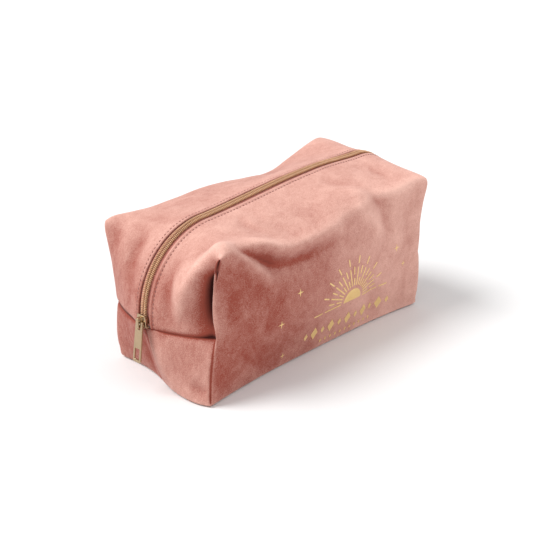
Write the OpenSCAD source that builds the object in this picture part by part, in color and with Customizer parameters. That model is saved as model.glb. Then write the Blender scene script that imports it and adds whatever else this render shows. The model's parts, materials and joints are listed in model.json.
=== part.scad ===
// Boxed velvet makeup bag with a zip that runs up one end, over the top and down the other end.
// +X runs along the bag from the end where the slider rests, -Y is the printed front, +Z is up.
// The origin is the middle of the base. All sizes are in millimetres.

/* [Bag] */
// Length of the base between the two end walls
bag_l = 224; // [200:1:250]
// Depth from the front wall to the back wall
bag_d = 104; // [90:1:130]
// How far each end swells out past the base at mid height
end_bulge = 15.5; // [10:0.5:20]
// Radius of the shoulder that the zip follows at the slider's end
shoulder_r = 57.5; // [50:0.5:62]
// Radius of the tighter shoulder at the far end
far_r = 36; // [30:0.5:45]
// Height of the centre of the shoulder at the slider's end
shoulder_z = 55; // [50:1:62]
// Rise of the top towards the far end, in degrees
top_slope = 3; // [0:0.5:4]
// Height of the horizontal seam across each end
seam_z = 47; // [40:1:49]

/* [Fabric] */
// Thickness of the velvet
velvet_t = 1.2; // [0.8:0.1:2]
// Thickness of the foam between the velvet and the lining
foam_t = 3; // [2:0.5:4]
// Thickness of the lining
lining_t = 0.6; // [0.4:0.1:1]
// Half of the gap between the two folded velvet edges beside the zip
slot_half = 5; // [4.8:0.1:7]
// Distance of the topstitching from the middle of the zip
stitch_y = 8; // [7:0.1:11]

/* [Mouth] */
// Length of the top flaps that open
mouth_l = 156; // [120:1:158]
// Distance of each flap's fold line from the middle of the bag
fold_y = 47; // [40:0.5:47]

/* [Zip] */
// Half of the width of the closed coil
coil_half = 2.8; // [2.5:0.1:3.2]
// How far the coil stands above the velvet
coil_proud = 1.1; // [0.8:0.1:1.5]
// Gap between the two halves of the zip
zip_gap = 1.3; // [1.2:0.1:1.6]
// Thickness of the woven tape
tape_t = 0.6; // [0.4:0.1:0.8]
// Half of the width of the whole zip tape
tape_half = 14; // [12:0.5:16]

/* [Slider] */
// Length of the slider along the zip
slider_l = 10; // [9:0.5:12]
// Width of the slider across the zip
slider_w = 8.6; // [8.2:0.1:9]
// Thickness of the slider's plates
plate_t = 1.1; // [0.8:0.1:1.3]
// Angle of the slider on its shoulder when the zip is closed
slider_rest = 182.5; // [181:0.5:183]

/* [Puller] */
// Length of the puller from its hinge to its tip
puller_l = 29; // [24:0.5:34]
// Width of the puller at its hinge
puller_w = 6.8; // [6.4:0.1:8]
// Width of the puller at its tip
puller_tip_w = 7.8; // [6.4:0.1:9]
// Thickness of the puller
puller_t = 1.4; // [1:0.1:1.5]
// Outward lean of the hanging puller, in degrees
puller_lean = 8; // [6:1:12]

/* [Print] */
// Distance of the sun motif from the middle of the front wall
sun_x = 28; // [0:1:40]
// Height of the sun motif's horizon
sun_z = 32.5; // [28:0.5:40]
// Radius of the half sun
sun_r = 9.6; // [7:0.2:12]
// Thickness of the foil
foil_t = 0.12; // [0.1:0.02:0.3]
// Length of the sun's unbroken rays
long_ray = 14; // [8:0.5:16]
// Length of the sun's short rays and outer dashes
short_ray = 6; // [4:0.5:7]

/* [Hidden] */

// The side of the bag that a piece is on
front = -1;
back = 1;
// Arc pieces in each rounded shoulder, and the facets of small round holes
arc_steps = 32;
$fn = 48;
// Wall build-up and the cut-out that the slider's inner plate runs in
wall = velvet_t + foam_t + lining_t;
half_d = bag_d / 2;
inner_slot = slot_half + 2;
// Shoulder centres, and the straight top that touches both shoulders
end_x = bag_l / 2 + end_bulge;
near_c = [shoulder_r - end_x, shoulder_z];
top_l = (2 * end_x - (shoulder_r + far_r) + (shoulder_r - far_r) * sin(top_slope)) / cos(top_slope);
top_dir = [cos(top_slope), sin(top_slope)];
top_out = [-sin(top_slope), cos(top_slope)];
far_c = near_c + (shoulder_r - far_r) * top_out + top_l * top_dir;
// Angle on the near shoulder where its end seam crosses the zip
near_seam = 180 + asin((shoulder_z - seam_z) / shoulder_r);
// The mouth starts just past the near shoulder
mouth_start = 2;
// The lower ends lean in to the base, which has a small softened edge
foot_x = bag_l / 2 + 2;
foot_h = 3;
// How far the far end leans in from its shoulder down to its seam
seam_lean = 0.5;
// Clearance between pieces that move apart, and an overshoot for cuts
gap = 0.3;
cut = 1;
far_out = 200;
// Seam allowances inside the bag
binding_t = 1.2;
binding_w = 8;
// Stitches of the topstitching
stitch_l = 2.2;
stitch_w = 0.5;
stitch_h = 0.3;
stitch_pitch = 3;
// Slider: channel clearance, hinge height and bail
coil_clear = 0.3;
plate_z = shoulder_r + coil_proud + coil_clear;
hinge_z = plate_z + plate_t + 1.35;
inner_plate_top = shoulder_r - velvet_t - tape_t - 0.5;
flange_t = 1.1;
post_w = 0.7;
bail_w = 2.2;
bail_t = 1;
bail_reach = 3.8;
bail_h = 2.7;
// Puller: hinge bar, slot for the bail and window at the tip
bar_half = 0.75;
slot_l = 4.45;
slot_w = 3.4;
window_l = 8;
window_w = 4.8;
window_rim = 2;
// Foil print: turn between rays, their width and gaps, the horizon lines and the row of lozenges
ray_turn = 10;
ray_w = 1;
ray_gap = 2.8;
horizon_l = 18;
row_pitch = 9.3;

velvet_c = "RosyBrown";
foam_c = "WhiteSmoke";
lining_c = "MistyRose";
tape_c = "IndianRed";
coil_c = "Tan";
gold_c = "Goldenrod";

function arc(c, r, a0, a1) =
  [for (i = [0:arc_steps]) let (a = a0 + (a1 - a0) * i / arc_steps) c + r * [cos(a), sin(a)]];

// Side outline of the bag in X and Z, set in by d
function outline(d) = concat(
  arc(near_c, shoulder_r - d, near_seam, 90 + top_slope),
  arc(far_c, far_r - d, 90 + top_slope, 0),
  [[end_x - seam_lean - d, seam_z], [foot_x - d, foot_h + d], [foot_x - foot_h - d, d],
   [foot_h - foot_x + d, d], [d - foot_x, foot_h + d]]
);

// Everything below is drawn for the back half (+Y); the front half is its mirror image
module on_side(side) {
  mirror([0, side == front ? 1 : 0, 0]) children();
}

module slab(d, y0, y1) {
  translate([0, y1, 0]) rotate([90, 0, 0]) linear_extrude(y1 - y0) polygon(outline(d));
}

// One half of a skin that lies between two depths below the outer surface
module half_skin(d0, d1) {
  difference() {
    slab(d0, 0, half_d - d0);
    slab(d1, -cut, half_d - d1);
  }
}

// Cut-out along the zip, above the end seams
module zip_slot(half_w) {
  translate([-far_out, -cut, seam_z]) cube([2 * far_out, half_w + cut, far_out]);
}

// A frame whose X runs along the straight top from the near shoulder and whose Z points out of it
module top_frame() {
  translate([near_c[0], 0, near_c[1]]) rotate([0, -top_slope, 0]) children();
}

// Room for the top flap and the clearance around it
module mouth_room() {
  top_frame() translate([mouth_start - gap, -cut, shoulder_r - wall - binding_t])
    cube([mouth_l + 2 * gap, fold_y + gap + cut, wall + 4]);
}

// A strip of the zip that follows the outline between two depths, outside the mouth
module zip_strip(y0, y1, d0, d1) {
  difference() {
    slab(d0, y0, y1);
    slab(d1, y0 - cut, y1 + cut);
    translate([-far_out, y0 - cut, -far_out + seam_z + gap]) cube([2 * far_out, y1 - y0 + 2 * cut, far_out]);
    mouth_room();
  }
}

// A flat layer of the top flap
module flap_layer(y0, y1, d0, d1) {
  top_frame() translate([mouth_start, y0, shoulder_r - d1]) cube([mouth_l, y1 - y0, d1 - d0]);
}

// A frame whose Z points out of a shoulder at angle a and whose X runs along the zip
module shoulder_frame(c, a) {
  translate([c[0], 0, c[1]]) rotate([0, 90 - a, 0]) children();
}

// One stitch of the topstitching, at height r in its frame
module stitch(r) {
  translate([-stitch_l / 2, stitch_y - stitch_w / 2, r]) cube([stitch_l, stitch_w, stitch_h]);
}

module velvet_panel(side) {
  on_side(side) difference() {
    half_skin(0, velvet_t);
    zip_slot(slot_half);
    mouth_room();
  }
}

module foam_panel(side) {
  on_side(side) difference() {
    half_skin(velvet_t, velvet_t + foam_t);
    zip_slot(inner_slot);
    intersection() {
      zip_slot(tape_half + gap);
      difference() {
        slab(0, -cut, half_d);
        slab(velvet_t + tape_t, -2 * cut, half_d + cut);
      }
    }
    mouth_room();
  }
}

module lining_panel(side) {
  on_side(side) difference() {
    half_skin(velvet_t + foam_t, wall);
    zip_slot(inner_slot);
    mouth_room();
  }
}

module tape_ends(side) {
  on_side(side) zip_strip(zip_gap / 2, tape_half, velvet_t, velvet_t + tape_t);
}

module coil_ends(side) {
  on_side(side) zip_strip(zip_gap / 2, coil_half, -coil_proud, velvet_t);
}

// Topstitching on the two shoulders and down the far end
module stitch_ends(side) {
  near_turn = stitch_pitch / shoulder_r * 180 / PI;
  far_turn = stitch_pitch / far_r * 180 / PI;
  on_side(side) {
    for (a = [92 + top_slope : near_turn : near_seam - 2]) shoulder_frame(near_c, a) stitch(shoulder_r);
    for (a = [2 : far_turn : 88 + top_slope]) shoulder_frame(far_c, a) stitch(far_r);
    for (z = [seam_z + 3 : stitch_pitch : far_c[1] - 2]) shoulder_frame([far_c[0], z], 0) stitch(far_r);
  }
}

// Bound seam allowance across the inside of one end
module end_binding(x_sign) {
  intersection() {
    slab(wall, -half_d + wall + binding_t, half_d - wall - binding_t);
    translate([x_sign > 0 ? foot_x : -far_out, -half_d, seam_z - binding_t / 2])
      cube([far_out - foot_x, bag_d, binding_t]);
  }
}

// Bound seam allowance down one inside corner
module corner_binding(x_sign, side) {
  corner_x = bag_l / 2 - 28;
  on_side(side) intersection() {
    difference() {
      slab(wall, half_d - wall - binding_t, half_d - wall);
      slab(wall + binding_w, half_d - wall - binding_t - cut, half_d);
    }
    translate([x_sign > 0 ? corner_x : -far_out, 0, wall + binding_w + foot_h])
      cube([far_out - corner_x, half_d, far_out]);
  }
}

module bottom_binding() {
  translate([-bag_l / 2 + binding_w, -binding_w / 2, wall]) cube([bag_l - 2 * binding_w, binding_w, binding_t]);
}

module flap_velvet(side) {
  on_side(side) flap_layer(slot_half, fold_y, 0, velvet_t);
}

module flap_foam(side) {
  on_side(side) difference() {
    flap_layer(inner_slot, fold_y - gap, velvet_t, velvet_t + foam_t);
    flap_layer(inner_slot - cut, tape_half + gap, 0, velvet_t + tape_t);
  }
}

module flap_lining(side) {
  on_side(side) flap_layer(inner_slot, fold_y - gap, velvet_t + foam_t, wall);
}

module flap_tape(side) {
  on_side(side) flap_layer(zip_gap / 2, tape_half, velvet_t, velvet_t + tape_t);
}

module flap_coil(side) {
  on_side(side) flap_layer(zip_gap / 2, coil_half, -coil_proud, velvet_t);
}

module flap_stitches(side) {
  on_side(side) top_frame()
    for (x = [2 : stitch_pitch : mouth_l - 2]) translate([mouth_start + x, 0, 0]) stitch(shoulder_r);
}

// Outline shapes of the foil print, drawn in X and Z
module ray(angle, r0, length) {
  rotate(angle) translate([r0, -ray_w / 2]) square([length, ray_w]);
}

module sparkle(x, z, r) {
  translate([x, z]) polygon([for (i = [0:7]) (i % 2 == 0 ? r : r * 0.22) * [cos(i * 45), sin(i * 45)]]);
}

module lozenge(x, z, r) {
  translate([x, z]) polygon([[r, 0], [0, 1.5 * r], [-r, 0], [0, -1.5 * r]]);
}

module print_shapes() {
  translate([sun_x, sun_z]) {
    intersection() {
      circle(sun_r);
      translate([-sun_r, 0]) square([2 * sun_r, sun_r]);
    }
    for (i = [2:2:16]) {
      ray(i * ray_turn, sun_r + ray_gap, long_ray);
      ray(i * ray_turn, sun_r + long_ray + 2 * ray_gap, short_ray);
    }
    for (i = [1:2:17]) {
      ray(i * ray_turn, sun_r + ray_gap, short_ray);
      ray(i * ray_turn, sun_r + short_ray + 2 * ray_gap, short_ray);
    }
    for (angle = [0, 180]) {
      ray(angle, sun_r + ray_gap, horizon_l);
      ray(angle, sun_r + horizon_l + 2 * ray_gap, horizon_l / 2);
    }
  }
  for (i = [-5:5]) {
    lozenge(sun_x + i * row_pitch, sun_z - 16, i % 2 == 0 ? 3.6 : 2);
    lozenge(sun_x + i * row_pitch * 0.6, sun_z - 26, 1.1);
  }
  sparkle(sun_x - 59, sun_z + 26, 3.2);
  sparkle(sun_x - 77, sun_z + 7, 3.2);
  sparkle(sun_x + 51, sun_z + 27, 3.2);
  sparkle(sun_x + 61, sun_z + 11, 2.4);
  sparkle(sun_x - 69, sun_z - 23, 2.4);
}

module foil() {
  translate([0, -half_d, 0]) rotate([90, 0, 0]) linear_extrude(foil_t) print_shapes();
}

// Slider, drawn in its shoulder frame: the divider end points to the end seam (-X here)
module slider_shell() {
  half_l = slider_l / 2;
  half_w = slider_w / 2;
  tape_top = shoulder_r - velvet_t;
  translate([0, 0, plate_z]) linear_extrude(plate_t) polygon([
    [-half_l, -half_w * 0.5], [-half_l + 2, -half_w], [half_l - 2, -half_w], [half_l, -half_w * 0.8],
    [half_l, half_w * 0.8], [half_l - 2, half_w], [-half_l + 2, half_w], [-half_l, half_w * 0.5]
  ]);
  for (s = [-1, 1]) translate([-1.5, s * (half_w - flange_t / 2) - flange_t / 2, tape_top + gap])
    cube([half_l - 0.5, flange_t, plate_z - tape_top - gap]);
  translate([-half_l + 0.4, -post_w / 2, inner_plate_top]) cube([2.2, post_w, plate_z - inner_plate_top]);
  translate([-half_l + 0.4, -half_w, inner_plate_top - plate_t]) cube([slider_l - 0.8, slider_w, plate_t]);
}

// Bail: a bridge on two posts that holds the puller's bar
module bail_shell() {
  base = plate_z + plate_t;
  for (s = [-1, 1]) translate([s * (bail_reach - 0.6) - 0.6, -bail_w / 2, base]) cube([1.2, bail_w, bail_h]);
  translate([-bail_reach, -bail_w / 2, base + bail_h]) cube([2 * bail_reach, bail_w, bail_t]);
}

// Puller, drawn with its hinge at the origin and its length along +X
module puller_plate() {
  linear_extrude(puller_t, center = true) difference() {
    polygon([
      [-bar_half, -puller_w / 2], [puller_l - 1, -puller_tip_w / 2], [puller_l, -puller_tip_w / 2 + 1],
      [puller_l, puller_tip_w / 2 - 1], [puller_l - 1, puller_tip_w / 2], [-bar_half, puller_w / 2]
    ]);
    translate([bar_half, -slot_w / 2]) square([slot_l, slot_w]);
    translate([puller_l - window_rim - window_l, -window_w / 2]) square([window_l, window_w]);
  }
}

module outer_front_panel() { color(velvet_c) velvet_panel(front); }
module outer_back_panel() { color(velvet_c) velvet_panel(back); }
module foam_front() { color(foam_c) foam_panel(front); }
module foam_back() { color(foam_c) foam_panel(back); }
module lining_front() { color(lining_c) lining_panel(front); }
module lining_back() { color(lining_c) lining_panel(back); }
module zip_tape_front() { color(tape_c) tape_ends(front); }
module zip_tape_back() { color(tape_c) tape_ends(back); }
module zip_coil_front() { color(coil_c) coil_ends(front); }
module zip_coil_back() { color(coil_c) coil_ends(back); }
module end_seam_binding_pull() { color(lining_c) end_binding(-1); }
module end_seam_binding_far() { color(lining_c) end_binding(1); }
module bottom_seam_binding() { color(lining_c) bottom_binding(); }
module corner_binding_pull_front() { color(lining_c) corner_binding(-1, front); }
module corner_binding_pull_back() { color(lining_c) corner_binding(-1, back); }
module corner_binding_far_front() { color(lining_c) corner_binding(1, front); }
module corner_binding_far_back() { color(lining_c) corner_binding(1, back); }
module topstitch_front() { color(velvet_c) stitch_ends(front); }
module topstitch_back() { color(velvet_c) stitch_ends(back); }
module foil_print() { color(gold_c) foil(); }
module mouth_velvet_front() { color(velvet_c) flap_velvet(front); }
module mouth_foam_front() { color(foam_c) flap_foam(front); }
module mouth_lining_front() { color(lining_c) flap_lining(front); }
module mouth_tape_front() { color(tape_c) flap_tape(front); }
module mouth_coil_front() { color(coil_c) flap_coil(front); }
module mouth_topstitch_front() { color(velvet_c) flap_stitches(front); }
module mouth_velvet_back() { color(velvet_c) flap_velvet(back); }
module mouth_foam_back() { color(foam_c) flap_foam(back); }
module mouth_lining_back() { color(lining_c) flap_lining(back); }
module mouth_tape_back() { color(tape_c) flap_tape(back); }
module mouth_coil_back() { color(coil_c) flap_coil(back); }
module mouth_topstitch_back() { color(velvet_c) flap_stitches(back); }
module slider_body() { color(gold_c) shoulder_frame(near_c, slider_rest) slider_shell(); }
module slider_bail() { color(gold_c) shoulder_frame(near_c, slider_rest) bail_shell(); }

module puller() {
  hinge_x = near_c[0] + hinge_z * cos(slider_rest);
  hinge_h = near_c[1] + hinge_z * sin(slider_rest);
  color(gold_c) translate([hinge_x, 0, hinge_h]) rotate([0, 90 + puller_lean, 0]) puller_plate();
}

outer_front_panel();
outer_back_panel();
foam_front();
foam_back();
lining_front();
lining_back();
zip_tape_front();
zip_tape_back();
zip_coil_front();
zip_coil_back();
end_seam_binding_pull();
end_seam_binding_far();
bottom_seam_binding();
corner_binding_pull_front();
corner_binding_pull_back();
corner_binding_far_front();
corner_binding_far_back();
topstitch_front();
topstitch_back();
foil_print();
mouth_velvet_front();
mouth_foam_front();
mouth_lining_front();
mouth_tape_front();
mouth_coil_front();
mouth_topstitch_front();
mouth_velvet_back();
mouth_foam_back();
mouth_lining_back();
mouth_tape_back();
mouth_coil_back();
mouth_topstitch_back();
slider_body();
slider_bail();
puller();
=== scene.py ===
import json
import math

import bmesh
import bpy
import numpy as np
from mathutils import Matrix, Vector, noise
from mathutils.bvhtree import BVHTree


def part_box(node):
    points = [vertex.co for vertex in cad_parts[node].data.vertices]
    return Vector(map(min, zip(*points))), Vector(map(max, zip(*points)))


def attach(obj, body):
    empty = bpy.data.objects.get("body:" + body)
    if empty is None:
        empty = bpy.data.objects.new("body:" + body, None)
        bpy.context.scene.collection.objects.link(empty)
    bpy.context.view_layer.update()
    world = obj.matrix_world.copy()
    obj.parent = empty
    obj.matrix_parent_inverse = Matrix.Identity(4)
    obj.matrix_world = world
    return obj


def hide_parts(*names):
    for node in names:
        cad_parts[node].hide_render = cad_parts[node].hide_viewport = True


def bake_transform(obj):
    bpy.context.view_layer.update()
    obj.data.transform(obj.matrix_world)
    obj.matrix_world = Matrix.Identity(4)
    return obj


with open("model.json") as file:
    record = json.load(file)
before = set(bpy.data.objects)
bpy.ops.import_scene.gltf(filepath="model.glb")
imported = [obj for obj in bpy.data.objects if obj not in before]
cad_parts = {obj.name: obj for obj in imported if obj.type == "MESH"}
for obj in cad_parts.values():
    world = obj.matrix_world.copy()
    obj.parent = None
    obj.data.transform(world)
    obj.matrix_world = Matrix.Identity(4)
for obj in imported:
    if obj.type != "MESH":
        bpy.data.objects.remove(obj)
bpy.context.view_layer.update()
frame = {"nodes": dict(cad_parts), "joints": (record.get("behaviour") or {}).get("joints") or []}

# The bag's shape is worked out in millimetres, +X along the bag, -Y its printed front, +Z up.
MM = 0.001
FRONT, BACK = -1, 1
NEAR, FAR = -1, 1
SIDE_NAME = {FRONT: "front", BACK: "back"}


# ---- sizes taken from the frame

panel_low, panel_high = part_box("outer_front_panel")
HALF_DEPTH = -panel_low.y / MM
END_X = panel_high.x / MM
joints = {joint["name"]: joint for joint in frame["joints"]}
SHOULDER_X = joints["slider_travel"]["pos_m"][0] / MM
SHOULDER_Z = joints["slider_travel"]["pos_m"][2] / MM
SHOULDER_R = END_X + SHOULDER_X
mouth_low, mouth_high = (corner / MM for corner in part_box("mouth_velvet_front"))
FOLD_Y = -mouth_low.y

# ---- sizes, in millimetres

# Height of the seam across each end, where the zip stops
SEAM_Z = 47.0
# The shoulders over the zip, and how much they tighten at the sewn corners
SHOULDER_TOP_Z = SHOULDER_Z + SHOULDER_R
FAR_R = 36.0
FAR_TOP_Z = 121.0
CORNER_R = 9.0
CORNER_X = 110.5
CORNER_TIGHTENING = 2.2
END_SWELLING = 1.7
# Height of the top's sewn corners; the far back one stands higher
EAR_Z = 107.0
BACK_EAR_Z = 119.0
# Where the ends meet the base
NEAR_FOOT_X = 109.5
FAR_FOOT_X = 111.0
LOW_END_BULGE = 1.5

# How far the plain shape bows up, sags, swells and is drawn in
TOP_BOW = 3.4
BACK_SAG, BACK_SAG_X = 11.5, 42
FRONT_SAG, FRONT_SAG_X = 12.0, -25
WALL_BELLY = 2.5
FRONT_TUCK, BACK_TUCK = 6.5, 4.0
SEAM_TILT = 2.6
CLOTH_HILLS, CLOTH_RIPPLES = 0.9, 0.35
# Rounds of smoothing: of the plain shape, after the folds, of the padding and of its inward ways
SETTLE_ROUNDS, FOLD_ROUNDS, PADDING_ROUNDS, INWARD_ROUNDS = 28, 3, 24, 16
# The padding is set in under a hollow by this much of the hollow's depth
PADDING_ROOM = 1.35
# How far the seams draw the velvet in: across the ends, up the corners, up the low ends
END_SEAM_PULL, CORNER_SEAM_PULL, CENTRE_SEAM_PULL = 1.3, 1.2, 0.8
# Closer than this to a grid line counts as on it
ON_LINE = 0.01

# Layers of the wall: thickness, and how deep each one's outer face lies below the velvet's
VELVET_T = 1.2
TAPE_T, TAPE_DEPTH = 0.5, 1.35
FOAM_T, FOAM_DEPTH = 2.6, 1.5
LINING_T, LINING_DEPTH = 0.5, 4.4
BINDING_T, BINDING_DEPTH = 1.2, 5.2
# How far each velvet half laps over the middle of the base
SEAM_LAP = 0.7
# The binding stands in from the lining in these steps, and covers these stretches of its seams
BINDING_STEPS = (2.0, 2.5, 2.5)
END_BINDING_Y = 42
CORNER_BINDING_LOW, CORNER_BINDING_HIGH = 14, 96
BASE_BINDING_SHARE = 0.9

# The zip, measured from its middle line
SLOT_Y = 5.0
INNER_SLOT_Y = 6.8
HEM_Y = 6.4
TAPE_IN_Y, TAPE_Y = 0.5, 14.0
TAPE_CELLS = (150, 5)
COIL_IN_Y, COIL_OUT_Y = 0.2, 2.8
COIL_TOP = 1.1
COIL_LIFT = 0.1
COIL_PITCH = 1.25
COIL_STEPS = 8
# The lips would open fully out to the first of these and up from the second height, and not beyond;
# this opening is worked out but not applied
OPEN_Y, SHUT_Y = 30, 49
SHUT_Z, OPEN_Z = 60, 88
WIRE_R, WIRE_SIDES = 0.42, 5

# The topstitching: its line, its spacing, and the size and dip of one stitch
STITCH_Y = 8.2
STITCH_PITCH = 3.0
STITCH_START = 3
STITCH_MARGIN = 4
STITCH_LENGTH, STITCH_WIDTH, STITCH_HEIGHT = 2.3, 0.95, 0.6
STITCH_PROUD = 0.30
STITCH_DIP = 2.6
STITCH_TAPER = 1.2

# Meshes taken from the frame's solids
WELD = 0.001
FLAT_ANGLE, EDGE_ANGLE = math.radians(1), math.radians(20)
BEVEL_SEGMENTS = 3
FOIL_CELL = 2.5
FOIL_PROUD, FOIL_SUNK = 0.14, 0.1


# ---- mesh helpers

def points_of(shape):
    """The vertices of a bmesh as an array of points."""
    return np.array([vertex.co for vertex in shape.verts], float).reshape(-1, 3)


def move_points(shape, points):
    """Puts a bmesh's vertices at these points."""
    for vertex, point in zip(shape.verts, points):
        vertex.co = point


def face_outwards(shape):
    """Turns a bmesh's faces outwards."""
    bmesh.ops.recalc_face_normals(shape, faces=shape.faces[:])


def as_object(name, shape, smooth=True):
    """A finished bmesh as an object, its millimetres made metres."""
    bmesh.ops.scale(shape, vec=(MM, MM, MM), verts=shape.verts[:])
    mesh = bpy.data.meshes.new(name)
    shape.to_mesh(mesh)
    shape.free()
    mesh.polygons.foreach_set("use_smooth", [smooth] * len(mesh.polygons))
    piece = bpy.data.objects.new(name, mesh)
    bpy.context.scene.collection.objects.link(piece)
    return piece


def thicken(piece, thickness):
    """Gives a skin its thickness, inwards."""
    wall = piece.modifiers.new("thickness", "SOLIDIFY")
    wall.thickness = thickness * MM
    wall.offset = -1
    wall.use_even_offset = False
    return piece


def soften(piece):
    """Rounds a piece with one level of subdivision."""
    rounding = piece.modifiers.new("rounding", "SUBSURF")
    rounding.levels = rounding.render_levels = 1
    return piece


def finish_piece(piece, material, replaced):
    """Gives a piece its material and hides the frame's nodes that it stands for."""
    piece.data.materials.append(material)
    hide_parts(*replaced)


def from_solid(node):
    """A mesh taken from one of the frame's solids, in millimetres."""
    shape = bmesh.new()
    shape.from_mesh(frame["nodes"][node].data)
    bmesh.ops.scale(shape, vec=(1 / MM,) * 3, verts=shape.verts[:])
    bmesh.ops.remove_doubles(shape, verts=shape.verts[:], dist=WELD)
    return shape


def places_of(piece):
    """Where an object's vertices lie, in millimetres."""
    return np.array([vertex.co for vertex in piece.data.vertices], float) / MM


def ramp(values, low, high):
    """Rises smoothly from 0 at low to 1 at high."""
    share = np.clip((values - low) / (high - low), 0, 1)
    return share * share * (3 - 2 * share)


def hump(values, centre, width):
    """A smooth bump of height 1."""
    return np.exp(-((values - centre) / width) ** 2)


# ---- the bag's shape

def half_length(y):
    """Half of the bag's length at mid height: the ends swell towards the zip."""
    return CORNER_X + (END_X - CORNER_X) * (1 - np.abs(y / HALF_DEPTH) ** END_SWELLING)


def shoulder_radius(end, y):
    """Radius of the shoulder, which tightens from the zip to the bag's corners."""
    share = np.abs(y / HALF_DEPTH) ** CORNER_TIGHTENING
    return (SHOULDER_R if end == NEAR else FAR_R) * (1 - share) + CORNER_R * share


def top_height(end, y):
    """Height of the top where it leaves the shoulder at one end."""
    b = y / HALF_DEPTH
    if end == NEAR:
        return SHOULDER_TOP_Z - (SHOULDER_TOP_Z - EAR_Z) * b**2
    corner = np.where(b < 0, EAR_Z, BACK_EAR_Z)
    return FAR_TOP_Z - (FAR_TOP_Z - corner) * b**2


def foot(end, y):
    """Where an end wall meets the base."""
    b = y / HALF_DEPTH
    if end == NEAR:
        # The foot swells out towards the front, and its corners are drawn in and out a little
        swelling = 11 * ramp(-b, -0.5, 0.55)
        front_corner = 4.5 * ramp(-b, 0.75, 1.0)
        back_corner = 1.5 * ramp(b, 0.6, 1.0)
        return -(NEAR_FOOT_X + swelling - front_corner + back_corner)
    return FAR_FOOT_X + 2.0 * np.abs(b)


def end_point(end, y, h):
    """A point on an end wall. h runs from 0 at the base, past the end seam, to mid shoulder."""
    y, h = np.broadcast_arrays(y, h)
    reach = half_length(y)
    radius = shoulder_radius(end, y)
    top = top_height(end, y)
    low = np.clip(h / SEAM_Z, 0, 1)
    low_x = foot(end, y) * (1 - low) + end * reach * low + end * LOW_END_BULGE * np.sin(np.pi * low)
    upright = top - radius - SEAM_Z
    travel = np.clip((h - SEAM_Z) / (EAR_Z - SEAM_Z), 0, 1) * (upright + radius * np.pi / 4)
    turn = np.clip((travel - upright) / radius, 0, np.pi / 4)
    high_x = end * (reach - radius * (1 - np.cos(turn)))
    high_z = SEAM_Z + np.minimum(travel, upright) + radius * np.sin(turn)
    x = np.where(h <= SEAM_Z, low_x, high_x)
    z = np.where(h <= SEAM_Z, h, high_z)
    return np.stack([x, y + 0 * x, z], -1)


def top_point(a, y):
    """A point on the top. a runs from -1 to 1 between the middles of the two shoulders."""
    a, y = np.broadcast_arrays(a, y)
    reach = half_length(y)
    near_r, far_r = shoulder_radius(NEAR, y), shoulder_radius(FAR, y)
    near_z, far_z = top_height(NEAR, y), top_height(FAR, y)
    near_arc, far_arc = near_r * np.pi / 4, far_r * np.pi / 4
    straight = 2 * reach - near_r - far_r
    travel = (a + 1) / 2 * (near_arc + straight + far_arc)
    near_turn = np.pi / 4 + np.clip(travel / near_r, 0, np.pi / 4)
    far_turn = np.clip((travel - near_arc - straight) / far_r, 0, np.pi / 4)
    along = np.clip((travel - near_arc) / straight, 0, 1)
    flat_x = -reach + near_r + along * straight
    flat_z = near_z + (far_z - near_z) * along
    x = flat_x - near_r * np.cos(near_turn) + far_r * np.sin(far_turn)
    z = flat_z - near_r * (1 - np.sin(near_turn)) - far_r * (1 - np.cos(far_turn))
    return np.stack([x, y + 0 * x, z], -1)


def base_point(a, y):
    """A point on the base."""
    a, y = np.broadcast_arrays(a, y)
    share = (a + 1) / 2
    x = foot(NEAR, y) * (1 - share) + foot(FAR, y) * share
    return np.stack([x, y + 0 * x, 0 * x], -1)


def wall_point(side, a, h):
    """A point on a long wall, spanned between the wall's four edges."""
    y = side * HALF_DEPTH + 0 * a
    u, v = ((a + 1) / 2)[:, None], (h / EAR_Z)[:, None]
    near, far = end_point(NEAR, y, h), end_point(FAR, y, h)
    top, base = top_point(a, y), base_point(a, y)
    low_near, low_far = end_point(NEAR, y, 0 * h), end_point(FAR, y, 0 * h)
    high_near, high_far = top_point(0 * a - 1, y), top_point(0 * a + 1, y)
    low, high = (1 - u) * low_near + u * low_far, (1 - u) * high_near + u * high_far
    corners = (1 - v) * low + v * high
    return (1 - u) * near + u * far + (1 - v) * base + v * top - corners


def line_places():
    """Where the skin's grid lines lie: closer together beside the zip and the seams.

    Places along the bag run from -1 to 1. Across it and upwards they are millimetres.
    """
    beside_corner = np.array([0.985, 0.995, 1])
    along = np.concatenate([-beside_corner[::-1], np.linspace(-0.965, 0.965, 83), beside_corner])
    beside_zip = [0, 2.5, SLOT_Y, 5.8, INNER_SLOT_Y, 7.6, STITCH_Y, 8.8, 9.8]
    half = np.concatenate([beside_zip, np.linspace(12, 49, 13), [50.5, 51.5, HALF_DEPTH]])
    across = np.concatenate([-half[:0:-1], half])
    beside_seam = [45.6, 46.5, SEAM_Z, 47.5, 48.4]
    upright = np.concatenate([np.linspace(0, 43.5, 16), beside_seam, np.linspace(50.5, EAR_Z, 23)])
    return along, across, upright


def skin_box():
    """The closed skin as a box of small cells, and each vertex's place on its grid lines."""
    lines = line_places()
    shape = bmesh.new()
    bmesh.ops.create_cube(shape, size=2)
    for axis, places in enumerate(lines):
        running = [
            edge for edge in shape.edges
            if abs(edge.verts[0].co[axis] - edge.verts[1].co[axis]) > 1
        ]
        bmesh.ops.subdivide_edges(shape, edges=running, cuts=len(places) - 2, use_grid_fill=True)
    grid = np.empty((len(shape.verts), 3))
    for axis, places in enumerate(lines):
        share = (points_of(shape)[:, axis] + 1) / 2
        grid[:, axis] = places[np.rint(share * (len(places) - 1)).astype(int)]
    return shape, grid


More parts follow.
